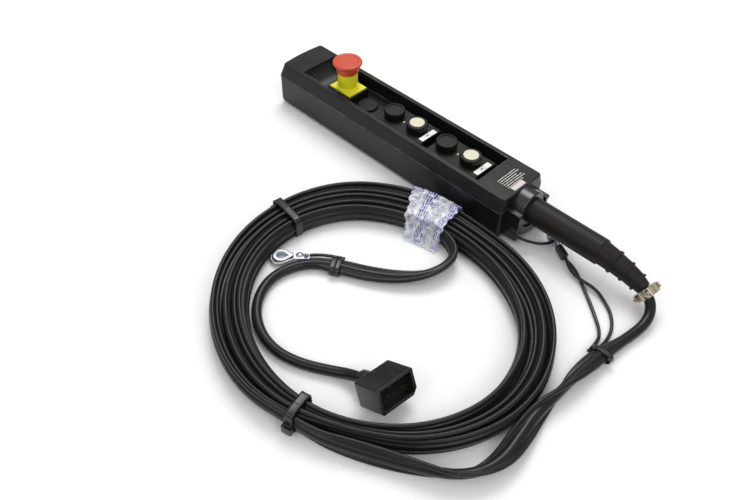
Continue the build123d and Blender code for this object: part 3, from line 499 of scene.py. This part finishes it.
def surface(
    name, colour, roughness, metallic=0.0, grain=0.6, depth=0.05, strength=0.4, spread=0.25,
    wear=0.0, wear_colour=(0.3, 0.3, 0.3), dust=0.0, coat=0.0, sheen=0.0, specular=0.5, edge=0.0,
    edge_wear_and_highlight=0.5, edge_wear_and_highlight_colour=(0.3, 0.3, 0.29),
):
    """A moulded, painted or metal surface: grain, cloudy colour, scuffs, rubbed edges with a
    painted highlight along them, dust.
    """
    finish = Finish(name)
    fine = finish.noise(grain, 4.0)
    broad = finish.noise(24.0, 2.0)
    tone = finish.ranged(broad, 0.3, 0.7)
    base = finish.mixed(tone, shaded(colour, 1 - spread), shaded(colour, 1 + spread))
    if wear:
        scuffs = finish.noise(2.2, 5.0, 0.7)
        patches = finish.ranged(finish.noise(11.0, 2.0), 0.45, 0.7)
        mask = finish.combined(finish.combined(finish.ranged(scuffs, 0.58, 0.7), patches), wear)
        base = finish.mixed(mask, base, wear_colour)
    rounded = None
    # paler colour along sharp edges: partly rubbed wear, partly a painted highlight in place of the
    # glint on the rounded edges
    if edge:
        rounded, edge_mask = finish.edges(edge)
        stretches = finish.ranged(finish.noise(38.0, 2.0), 0.42, 0.6, 0.15, edge_wear_and_highlight)
        base = finish.mixed(finish.combined(edge_mask, stretches), base, edge_wear_and_highlight_colour)
    if dust:
        cells = finish.add("ShaderNodeTexVoronoi")
        cells.inputs["Scale"].default_value = 1 / (7.0 * mm)
        finish.link(finish.place, cells.inputs["Vector"])
        specks = finish.ranged(cells.outputs["Distance"], 0.05, 0.03)
        rare = finish.ranged(finish.noise(9.0, 1.0), 0.56, 0.6)
        dusty = finish.combined(finish.combined(specks, rare), dust)
        base = finish.mixed(dusty, base, (0.7, 0.68, 0.64))
    finish.link(base, finish.shader.inputs["Base Color"])
    rough = finish.ranged(fine, 0.25, 0.75, roughness - 0.08, roughness + 0.08)
    drift = finish.ranged(broad, 0.3, 0.7, -0.05, 0.05)
    finish.link(finish.combined(rough, drift, "ADD"), finish.shader.inputs["Roughness"])
    finish.shader.inputs["Metallic"].default_value = metallic
    finish.shader.inputs["Coat Weight"].default_value = coat
    finish.shader.inputs["Coat Roughness"].default_value = 0.2
    finish.shader.inputs["Sheen Weight"].default_value = sheen
    finish.shader.inputs["Specular IOR Level"].default_value = specular
    finish.bump(fine, depth, strength, rounded)
    return finish.material


# base colour, roughness, and what else sets the finish apart
finish_specs = {
    # the edge colours paint a highlight along sharp edges, partly as wear; on the housing the pale
    # edge colour stands in for the glints on its ledge and rims
    "housing_black": dict(
        colour=(0.0085, 0.0085, 0.009), roughness=0.3, grain=0.55, depth=0.04, strength=0.4,
        wear=0.25, wear_colour=(0.14, 0.14, 0.14), dust=0.6, specular=0.3, edge=0.75, edge_wear_and_highlight=0.9,
        edge_wear_and_highlight_colour=(0.5, 0.5, 0.49),
    ),
    "actuator_black": dict(
        colour=(0.007, 0.0067, 0.0062), roughness=0.45, grain=0.5, depth=0.04, wear=0.3,
        wear_colour=(0.05, 0.047, 0.043), dust=0.5, specular=0.25, edge=0.4, edge_wear_and_highlight=0.6,
        edge_wear_and_highlight_colour=(0.1, 0.1, 0.095),
    ),
    "gloss_black": dict(
        colour=(0.009, 0.009, 0.0095), roughness=0.28, grain=0.7, depth=0.02, coat=0.1, dust=0.3,
        specular=0.4,
    ),
    "gland_black": dict(
        colour=(0.011, 0.011, 0.011), roughness=0.27, grain=0.8, depth=0.03, wear=0.3, coat=0.25,
        wear_colour=(0.1, 0.1, 0.1), edge=0.5, edge_wear_and_highlight=0.7,
    ),
    "sleeve_rubber": dict(
        colour=(0.0065, 0.0056, 0.0047), roughness=0.5, grain=0.45, depth=0.07, strength=0.5,
        wear=0.5, wear_colour=(0.05, 0.042, 0.035), dust=0.4, specular=0.3, edge=0.6,
        edge_wear_and_highlight_colour=(0.06, 0.055, 0.05),
    ),
    "gasket_rubber": dict(colour=(0.016, 0.016, 0.017), roughness=0.65, grain=0.4, depth=0.04),
    "cable_jacket": dict(
        colour=(0.0048, 0.0043, 0.0038), roughness=0.32, specular=0.32, grain=0.5, depth=0.035,
        strength=0.4, wear=0.35, wear_colour=(0.075, 0.07, 0.068), dust=0.7, sheen=0.05,
    ),
    "tie_nylon": dict(
        colour=(0.009, 0.009, 0.0095), roughness=0.3, grain=0.7, depth=0.03, wear=0.3,
    ),
    "estop_red": dict(
        colour=(0.56, 0.058, 0.019), roughness=0.42, grain=0.6, depth=0.03, spread=0.08, wear=0.35,
        wear_colour=(0.85, 0.32, 0.24),
    ),
    "estop_yellow": dict(
        colour=(0.8, 0.76, 0.018), roughness=0.45, grain=0.6, depth=0.02, spread=0.06, wear=0.3,
        wear_colour=(0.45, 0.43, 0.05),
    ),
    "lens_cream": dict(
        colour=(0.66, 0.64, 0.47), roughness=0.4, grain=0.8, depth=0.02, spread=0.05, wear=0.2,
        wear_colour=(0.5, 0.47, 0.36),
    ),
    "label_white": dict(
        colour=(0.86, 0.86, 0.82), roughness=0.5, grain=0.4, depth=0.01, spread=0.04, wear=0.15,
        wear_colour=(0.4, 0.4, 0.38),
    ),
    "sticker_pink": dict(
        colour=(0.66, 0.54, 0.53), roughness=0.5, grain=0.4, depth=0.01, spread=0.05, wear=0.5,
        wear_colour=(0.5, 0.42, 0.42),
    ),
    "block_grey": dict(colour=(0.32, 0.33, 0.34), roughness=0.5, grain=0.6, depth=0.03, spread=0.1),
    "terminal_grey": dict(colour=(0.62, 0.62, 0.58), roughness=0.5, grain=0.6, spread=0.08),
    "plated_steel": dict(
        colour=(0.42, 0.42, 0.41), roughness=0.32, metallic=1.0, grain=0.5, depth=0.02, spread=0.12,
        wear=0.4, wear_colour=(0.3, 0.28, 0.25),
    ),
    "spring_steel": dict(
        colour=(0.55, 0.56, 0.58), roughness=0.3, metallic=1.0, grain=0.4, spread=0.1,
    ),
    "nickel_clamp": dict(
        colour=(0.55, 0.5, 0.38), roughness=0.18, metallic=1.0, grain=0.9, depth=0.015, spread=0.12,
        wear=0.5, wear_colour=(0.35, 0.3, 0.2),
    ),
    "galvanised": dict(
        colour=(0.4, 0.43, 0.46), roughness=0.32, metallic=1.0, grain=1.2, depth=0.04, spread=0.18,
        wear=0.5, wear_colour=(0.4, 0.43, 0.47),
    ),
    "contact_metal": dict(
        colour=(0.75, 0.68, 0.46), roughness=0.25, metallic=1.0, grain=0.4, spread=0.1,
    ),
    "wire_insulation": dict(colour=(0.12, 0.12, 0.13), roughness=0.45, grain=0.5),
    "film": dict(colour=(0.8, 0.82, 0.86), roughness=0.3, grain=3.0, depth=0.1, spread=0.05),
}
finishes = {name: surface(name, **spec) for name, spec in finish_specs.items()}

for node in nodes.values():
    for slot_used in node.material_slots:
        slot_used.material = finishes[slot_used.material.name.split(".")[0]]


def finished_piece(name, mesh, slot, smooth=True):
    """A new piece with the finish of its slot."""
    mesh.materials.append(finishes[slot])
    return new_piece(name, mesh, smooth)


flat_cable.data.materials.append(finishes["cable_jacket"])
for rope, _, eye_middle in ropes.values():
    rope.data.materials.append(finishes["tie_nylon"])
    rope.data.materials.append(finishes["plated_steel"])
    for polygon in rope.data.polygons:
        polygon.material_index = int((polygon.center - eye_middle).length < bare_reach * mm)

# ---------------------------------------------------------------- return springs
# CAD node, the joint that presses it, that joint's travel, and the wire's radius
springs = [("estop_spring", "estop_push", 4.5, 0.7)]
springs += [(f"button_spring_{n}", f"button_{n}_press", 3.0, 0.55) for n in range(1, 5)]
spring_turns = 7
steps_per_turn = 24
wire_ring_points = 12


def spring_mesh(name, low, high, wire):
    """A compression spring with closed end turns, filling the box of its CAD node."""
    middle = (low + high) / 2
    radius = (high.x - low.x) / 2 - wire
    rise = high.z - low.z - 2 * wire
    turns = [0, 1, spring_turns - 1, spring_turns]
    heights = [0, 2 * wire, rise - 2 * wire, rise]
    line = []
    for step in range(spring_turns * steps_per_turn + 1):
        turn = step / steps_per_turn
        angle = 2 * math.pi * turn
        height = low.z + wire + np.interp(turn, turns, heights)
        sideways = Vector((math.cos(angle), math.sin(angle), 0)) * radius
        line.append(Vector((middle.x, middle.y, height)) + sideways)
    rings = []
    for point, tangent in zip(line, directions(line)):
        outward = Vector((point.x - middle.x, point.y - middle.y, 0)).normalized()
        upward = tangent.cross(outward).normalized()
        rings.append([
            point + (outward * math.cos(angle) + upward * math.sin(angle)) * wire
            for angle in (2 * math.pi * k / wire_ring_points for k in range(wire_ring_points))
        ])
    return rings_mesh(name, rings)


for node, joint, travel, wire_radius in springs:
    low, high = (Vector(corner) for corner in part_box(node))
    name = node + "_wire"
    spring = finished_piece(name, spring_mesh(name, low, high, wire_radius * mm), "spring_steel")
    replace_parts(spring, node)
    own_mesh(spring)


# ---------------------------------------------------------------- bands round the coil
def outward_way(angle):
    """The level way out from the coil's centre at an angle in degrees."""
    return Vector((math.cos(math.radians(angle)), math.sin(math.radians(angle)), 0))


def around_bundle(angle, profile):
    """Points round the coil's turns. Each is a share of the way from the inner side to the
    outer, millimetres past that, and a height."""
    outward = outward_way(angle)
    inner = reach_at(coil_inner_reach, angle)
    outer = reach_at(coil_outer_reach, angle)
    centre = Vector((coil_centre[0], coil_centre[1], 0))
    return [
        (centre + outward * (inner + (outer - inner) * share + past) + Vector((0, 0, height))) * mm
        for share, past, height in profile
    ]


# about the bundle's width, which turns a profile's share across it into millimetres
bundle_width = 36
# where each cut falls on a profile's sides, and how often its corners are cut
corner_cut = 0.22
cut_rounds = 3


def smooth_profile(corners, steps):
    """A profile with its corners cut until they are round, as steps points evenly apart."""
    points = [np.array(corner, float) for corner in corners]
    for _ in range(cut_rounds):
        cut = [points[0]]
        for first, second in zip(points, points[1:]):
            cut.append(first * (1 - corner_cut) + second * corner_cut)
            cut.append(first * corner_cut + second * (1 - corner_cut))
        cut.append(points[-1])
        points = cut
    moves = [after - before for before, after in zip(points, points[1:])]
    gaps = [np.hypot(move[0] * bundle_width + move[1], move[2]) for move in moves]
    places = np.concatenate([[0], np.cumsum(gaps)])
    wanted = np.linspace(0, places[-1], steps)
    columns = [np.interp(wanted, places, [point[k] for point in points]) for k in range(3)]
    return list(zip(*columns))


strap_corners = [
    (0.5, 0, 25.4), (0.2, 0, 25.0), (0, -1.4, 24.6), (0, -2.2, 12.0), (0, -1.6, 1.0), (0.5, 0, 0.7),
    (1, 1.6, 1.0), (1, 2.2, 12.0), (1, 1.5, 24.7), (0.8, 0, 25.3), (0.5, 0, 25.4),
]
strap_half_width = 4.3
strap_thickness = 1.2
strap_loop_points = 97
tooth_depth = 0.22
# a band's section: shares of its half width and of its thickness, with raised edges
strap_section = [(-1, 0), (-0.94, 1), (-0.5, 0.86), (0, 0.8), (0.5, 0.86), (0.94, 1), (1, 0)]
# each band's name, its angle round the coil, and the CAD node it stands for
strap_places = [("coil_strap_1", 173.0, "coil_tie_1"), ("coil_strap_2", 284.5, "coil_tie_2")]
buckle_size = (4.6, 10.0, 9.4)
buckle_bevel = 0.5
buckle_offset = 4.6
buckle_height = 8.4


def strap_mesh(name, angle):
    """A moulded band round the bundle, with raised edges and a ladder of small teeth."""
    loop = around_bundle(angle, smooth_profile(strap_corners, strap_loop_points))[:-1]
    middle = sum(loop, Vector()) / len(loop)
    along = Vector((-math.sin(math.radians(angle)), math.cos(math.radians(angle)), 0))
    rings = []
    for index, point in enumerate(loop):
        after = loop[(index + 1) % len(loop)]
        before = loop[index - 1]
        outward = along.cross((after - before).normalized())
        if outward.dot(point - middle) < 0:
            outward = -outward
        tooth = tooth_depth if index % 2 else 0.0
        ring = [
            point + along * across * strap_half_width * mm
            + outward * (height * strap_thickness - tooth * (abs(across) < 0.6)) * mm
            for across, height in strap_section
        ]
        rings.append(ring)
    rings.append(rings[0])
    return rings_mesh(name, rings, closed_ends=False)


def moulded_block(name, size, bevel):
    """A rounded block with a pocket sunk in its top and bottom, centred on the origin."""
    build = bmesh.new()
    bmesh.ops.create_cube(build, size=1)
    for vertex in build.verts:
        vertex.co *= Vector(size)
    ends = [face for face in build.faces if abs(face.normal.z) > 0.9]
    rim_share = 0.24
    pocket_share = 0.72
    bmesh.ops.inset_individual(build, faces=ends, thickness=size[0] * rim_share)
    for face in ends:
        for vertex in face.verts:
            vertex.co.z *= pocket_share
    bmesh.ops.bevel(
        build, geom=list(build.edges), offset=bevel, segments=3, profile=0.6, affect="EDGES"
    )
    mesh = bpy.data.meshes.new(name)
    build.to_mesh(mesh)
    build.free()
    return mesh


for name, angle, tie in strap_places:
    strap = finished_piece(name, strap_mesh(name, angle), "tie_nylon")
    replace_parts(strap, tie)
    buckle_mesh = moulded_block(
        name + "_buckle", [side * mm for side in buckle_size], buckle_bevel * mm
    )
    reach = reach_at(coil_outer_reach, angle) + buckle_offset
    turn_about = Matrix.Rotation(math.radians(angle), 4, "Z")
    centre = Vector((*coil_centre, buckle_height)) + outward_way(angle) * reach
    buckle_mesh.transform(Matrix.Translation(centre * mm) @ turn_about)
    finished_piece(name + "_buckle", buckle_mesh, "tie_nylon")

# ---------------------------------------------------------------- bands where the ropes fork off
# each place's name, the CAD node, the band's middle, and how far apart its rings are if it has two
fork_places = [
    ("fork_band_lead", "fork_tie_lead", (336.0, -86.0, 7.0), 0.0),
    ("fork_band_tail", "fork_tie_tail", (86.5, -183.0, 6.4), 5.4),
]
fork_half_width = 2.6
fork_thickness = 1.1
fork_ring_points = 48
# how far the band stands off the cable, across it and above it
fork_gap_across = 0.5
fork_gap_above = 0.4


def fork_rings(place, shift):
    """Rings of a thin band hugging the flat cable near a place on its line."""
    target = Vector(place) * mm
    nearest = min(range(len(cable_line)), key=lambda index: (cable_line[index] - target).length)
    point = cable_line[nearest]
    tangent = directions(cable_line)[nearest]
    across_way, thick_way = section_ways(tangent, cable_tilts[nearest])
    rings = []
    for step in range(fork_ring_points + 1):
        angle = 2 * math.pi * step / fork_ring_points
        c = math.cos(angle)
        s = math.sin(angle)
        bulge = 1 / (abs(c) ** 3 + abs(s) ** 3) ** (1 / 3)
        flat = across_way * c * bulge * (cable_width / 2 + fork_gap_across)
        tall = thick_way * s * bulge * (core_half_height + fork_gap_above)
        outward = (flat / (cable_width / 2) + tall / core_half_height).normalized()
        ring = []
        for across, height in strap_section:
            along = tangent * (across * fork_half_width + shift)
            ring.append(point + (flat + tall + along + outward * height * fork_thickness) * mm)
        rings.append(ring)
    return rings


def fork_band(name, place, shift):
    """One band round the flat cable."""
    mesh = rings_mesh(name, fork_rings(place, shift), closed_ends=False)
    return finished_piece(name, mesh, "tie_nylon")


for name, tie, place, apart in fork_places:
    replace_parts(fork_band(name, place, -apart / 2), tie)
    if apart:
        fork_band(name + "_second", place, apart / 2)

# ---------------------------------------------------------------- printed film round the coil
# the film's way round the bundle, as in around_bundle: over it, under it and up the inside again
film_corners = [
    (0, -13.0, 1.4), (0, -8.0, 2.8), (0, -4.0, 9.0), (0, -2.0, 18.0), (0.02, -0.8, 25.8),
    (0.5, 0, 27.0), (0.97, 0.8, 26.2), (1, 2.4, 22.0), (1, 2.4, 5.0), (0.97, 1.0, 0.9),
    (0.5, 0, 0.7), (0.04, -0.4, 0.8), (0, -1.8, 5.0), (0, -1.6, 14.0),
]
film_rows = 96
film_columns = 34
film_angles = (100.5, 121.5)
# the edge's slant at the first rows: how far in degrees, and over how many rows
film_slant = 1.2
slant_rows = 22
# how far a crease stands out at the sides, and up where the film lies on top
crease_aside = 0.8
crease_up = 0.7
film_top_height = 20
# the sheet's own millimetres, which the print is placed by
sheet_width = 50
sheet_row_height = 1.42
# each wave's rate across, rate along, phase and height
wave_ranges = [(0.4, 1.6), (0.5, 3.5), (0, 6.3), (0.1, 0.28)]
random.seed(11)
film_waves = [tuple(random.uniform(*span) for span in wave_ranges) for _ in range(14)]


def film_crinkle(row, column):
    """Height of the film's creases, in millimetres, at a place on its grid."""
    total = 0.0
    for across_rate, along_rate, phase, size in film_waves:
        value = math.sin(across_rate * column * 0.55 + along_rate * row * 0.16 + phase)
        total += size * (1 - abs(value)) ** 2
    return total


film_profile = smooth_profile(film_corners, film_rows)
film_vertices = []
film_uvs = []
for row, (side_share, past, height) in enumerate(film_profile):
    for column in range(film_columns):
        share = column / (film_columns - 1)
        ragged = 0.7 * math.sin(row * 0.41) + 0.5 * math.sin(row * 0.97 + 2)
        angle = film_angles[0] + (film_angles[1] - film_angles[0]) * share
        slant = film_slant * max(0, 1 - row / slant_rows) * share
        angle += ragged * (2 * share - 1) * 0.6 - slant
        crease = film_crinkle(row, column)
        aside = crease * (crease_aside if side_share > 0.5 else -crease_aside)
        lift = crease * crease_up if height > film_top_height else 0
        film_vertices += around_bundle(angle, [(side_share, past + aside, height + lift)])
        film_uvs.append((share * sheet_width, row * sheet_row_height))
film_faces = []
for row in range(film_rows - 1):
    for column in range(film_columns - 1):
        corner = row * film_columns + column
        film_faces.append((corner, corner + 1, corner + film_columns + 1, corner + film_columns))
film_mesh = bpy.data.meshes.new("printed_film")
film_mesh.from_pydata(film_vertices, [], film_faces)
film_layer = film_mesh.uv_layers.new(name="sheet")
for loop in film_mesh.loops:
    film_layer.data[loop.index].uv = film_uvs[loop.vertex_index]
printed_film = new_piece("printed_film", film_mesh)
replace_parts(printed_film, "film_wrap")

film_finish = Finish("printed_film")
film_place = film_finish.add("ShaderNodeTexCoord").outputs["UV"]
# how often the print repeats, in the sheet's millimetres
print_period = 26.0


def film_marks(brick_width, row_height, gap, offset):
    """Rows of plain dashes in the sheet's own millimetres."""
    brick = film_finish.add("ShaderNodeTexBrick")
    brick.inputs["Scale"].default_value = 1.0
    brick.inputs["Brick Width"].default_value = brick_width
    brick.inputs["Row Height"].default_value = row_height
    brick.inputs["Mortar Size"].default_value = gap
    brick.inputs["Mortar Smooth"].default_value = 0.2
    shift = film_finish.add("ShaderNodeMapping")
    shift.inputs["Location"].default_value = offset
    shift.inputs["Rotation"].default_value = (0, 0, math.pi / 2)
    film_finish.link(film_place, shift.inputs["Vector"])
    film_finish.link(shift.outputs["Vector"], brick.inputs["Vector"])
    return film_finish.ranged(brick.outputs["Fac"], 0.4, 0.6, 1, 0)


small_print = film_marks(2.3, 2.1, 0.45, (0, 0, 0))
large_print = film_marks(9.5, 2.6, 0.65, (1.0, 0.5, 0))
print_noise = film_finish.add("ShaderNodeTexNoise")
print_noise.inputs["Scale"].default_value = 0.16
print_noise.inputs["Detail"].default_value = 1.0
film_finish.link(film_place, print_noise.inputs["Vector"])
film_axes = film_finish.add("ShaderNodeSeparateXYZ")
film_finish.link(film_place, film_axes.inputs["Vector"])
print_phase = film_finish.combined(film_axes.outputs["X"], print_period, "MODULO")
large_band = film_finish.ranged(print_phase, 11.2, 10.8)
small_band = film_finish.ranged(print_phase, 13.8, 14.2)
large_gaps = film_finish.ranged(print_noise.outputs["Fac"], 0.43, 0.45)
small_gaps = film_finish.ranged(print_noise.outputs["Fac"], 0.5, 0.52)
large_inked = film_finish.combined(large_print, film_finish.combined(large_band, large_gaps))
small_inked = film_finish.combined(small_print, film_finish.combined(small_band, small_gaps))
inked = film_finish.combined(large_inked, small_inked, "MAXIMUM")
creases = film_finish.noise(7.0, 3.0, 0.5)
# painted shade: the film is coloured darker in the hollows of the crease bump and lighter on its
# ridges
film_base_with_painted_crease_shade = film_finish.mixed(
    film_finish.ranged(creases, 0.3, 0.7), (0.6, 0.61, 0.64), (0.82, 0.83, 0.85)
)
film_finish.link(
    film_finish.mixed(inked, film_base_with_painted_crease_shade, (0.05, 0.07, 0.42)), film_finish.shader.inputs["Base Color"]
)
haze = film_finish.ranged(creases, 0.35, 0.65, 0.6, 0.9)
film_finish.link(
    film_finish.combined(haze, film_finish.combined(inked, 0.5), "MAXIMUM"),
    film_finish.shader.inputs["Alpha"],
)
film_finish.link(
    film_finish.ranged(creases, 0.3, 0.7, 0.12, 0.34), film_finish.shader.inputs["Roughness"]
)
film_finish.bump(creases, 0.6, 0.5)
film_mesh.materials.append(film_finish.material)

# ---------------------------------------------------------------- printed marks
mark_thickness = 0.06


def flat_mark(outline, bottom):
    """A thin printed shape: its outline's points, then its top and side faces."""
    count = len(outline)
    vertices = [Vector((x, y, bottom)) * mm for x, y in outline]
    vertices += [Vector((x, y, bottom + mark_thickness)) * mm for x, y in outline]
    faces = [tuple(range(count, 2 * count))]
    for index in range(count):
        after = (index + 1) % count
        faces.append((index, after, count + after, count + index))
    return vertices, faces


def marks_piece(name, outlines, bottom, slot):
    """One piece of all the marks that lie at one height."""
    vertices = []
    faces = []
    for outline in outlines:
        new_vertices, new_faces = flat_mark(outline, bottom)
        faces += [tuple(index + len(vertices) for index in face) for face in new_faces]
        vertices += new_vertices
    mesh = bpy.data.meshes.new(name)
    mesh.from_pydata(vertices, [], faces)
    finished_piece(name, mesh, slot, smooth=False)


def box_outline(x0, x1, y0, y1):
    """The corners of an upright rectangle."""
    return [(x0, y0), (x1, y0), (x1, y1), (x0, y1)]


def arrow_outline(x, y, size, heading):
    """A short arrow about a point, pointing along heading in degrees."""
    shape = [
        (-1, -0.28), (0.05, -0.28), (0.05, -0.85), (1, 0), (0.05, 0.85), (0.05, 0.28), (-1, 0.28),
    ]
    c = math.cos(math.radians(heading)) * size
    s = math.sin(math.radians(heading)) * size
    return [(x + a * c - b * s, y + a * s + b * c) for a, b in shape]


plate_top = 47.0
cover_top = 55.0
strip_top = 47.2
marks_piece(
    "plate_arrows",
    [arrow_outline(5.5, -1.2, 1.6, 90), arrow_outline(86.2, -0.5, 1.6, 270)],
    plate_top, "label_white",
)
strip_marks = []
for x, heading in ((41.1, 90), (120.6, 270)):
    strip_marks.append(arrow_outline(x, -1.0, 1.9, heading))
    strip_marks.append(box_outline(x - 1.9, x - 1.1, 1.6, 3.4))
    strip_marks.append(box_outline(x + 1.1, x + 1.9, 1.6, 3.4))
marks_piece("strip_marks", strip_marks, strip_top, "tie_nylon")

# the rows of dashes where the rating text is
rating_rows = 6
rating_x = 149.6
rating_pitch = 2.85
rating_stroke = 0.8
rating_y_range = (-13.0, 17.0)
short_rows = (2, 5)
short_row_gap = 5.0
random.seed(5)
rating_lines = []
for row in range(rating_rows):
    x = rating_x + rating_pitch * row
    y = rating_y_range[0] + random.uniform(0, 1.5)
    row_end = rating_y_range[1] - (short_row_gap if row in short_rows else 0.0)
    while y < row_end:
        dash = random.uniform(0.8, 2.6)
        rating_lines.append(box_outline(x, x + rating_stroke, y, y + dash))
        y += dash + random.uniform(0.5, 0.9)
marks_piece("rating_marks", rating_lines, cover_top, "label_white")

# ---------------------------------------------------------------- floor and light
floor_reach = 40
floor_drop = 0.0003
floor_signs = [(-1, -1), (1, -1), (1, 1), (-1, 1)]
floor_corners = [(x * floor_reach, y * floor_reach, 0) for x, y in floor_signs]
floor_mesh = bpy.data.meshes.new("floor")
floor_mesh.from_pydata(floor_corners, [], [(0, 1, 2, 3)])
floor = bpy.data.objects.new("floor", floor_mesh)
scene.collection.objects.link(floor)
floor.location.z = -floor_drop
floor_finish = Finish("floor")
floor_tone = floor_finish.mixed(
    floor_finish.noise(180.0, 2.0), (0.93, 0.93, 0.93), (0.95, 0.95, 0.95)
)
floor_finish.link(floor_tone, floor_finish.shader.inputs["Base Color"])
floor_finish.shader.inputs["Roughness"].default_value = 0.8
floor_mesh.materials.append(floor_finish.material)

world = bpy.data.worlds.new("studio")
world.use_nodes = True
sky_nodes = world.node_tree.nodes
sky_links = world.node_tree.links
sky_axes = sky_nodes.new("ShaderNodeSeparateXYZ")
sky_links.new(sky_nodes.new("ShaderNodeTexCoord").outputs["Generated"], sky_axes.inputs["Vector"])
sky_range = sky_nodes.new("ShaderNodeMapRange")
sky_links.new(sky_axes.outputs["Z"], sky_range.inputs["Value"])
for name, value in (("From Min", 0.1), ("From Max", 0.6), ("To Min", 0.2), ("To Max", 0.7)):
    sky_range.inputs[name].default_value = value
sky_links.new(sky_range.outputs["Result"], sky_nodes["Background"].inputs["Strength"])
sky_nodes["Background"].inputs["Color"].default_value = (1, 1, 1, 1)
scene.world = world
scene.view_settings.view_transform = "Standard"


def soft_light(name, place, target, size, power):
    data = bpy.data.lights.new(name, "AREA")
    data.shape = "DISK"
    data.size = size
    data.energy = power
    lamp = bpy.data.objects.new(name, data)
    scene.collection.objects.link(lamp)
    lamp.location = place
    aim = Vector(target) - Vector(place)
    lamp.rotation_mode = "QUATERNION"
    lamp.rotation_quaternion = aim.to_track_quat("-Z", "Y")


middle = (0.14, -0.15, 0.0)
soft_light("key", (-0.5, 0.6, 1.6), middle, 1.0, 15)
soft_light("fill", (1.4, -0.4, 1.1), middle, 1.0, 5)
soft_light("front", (0.1, -1.5, 1.2), middle, 1.0, 4)
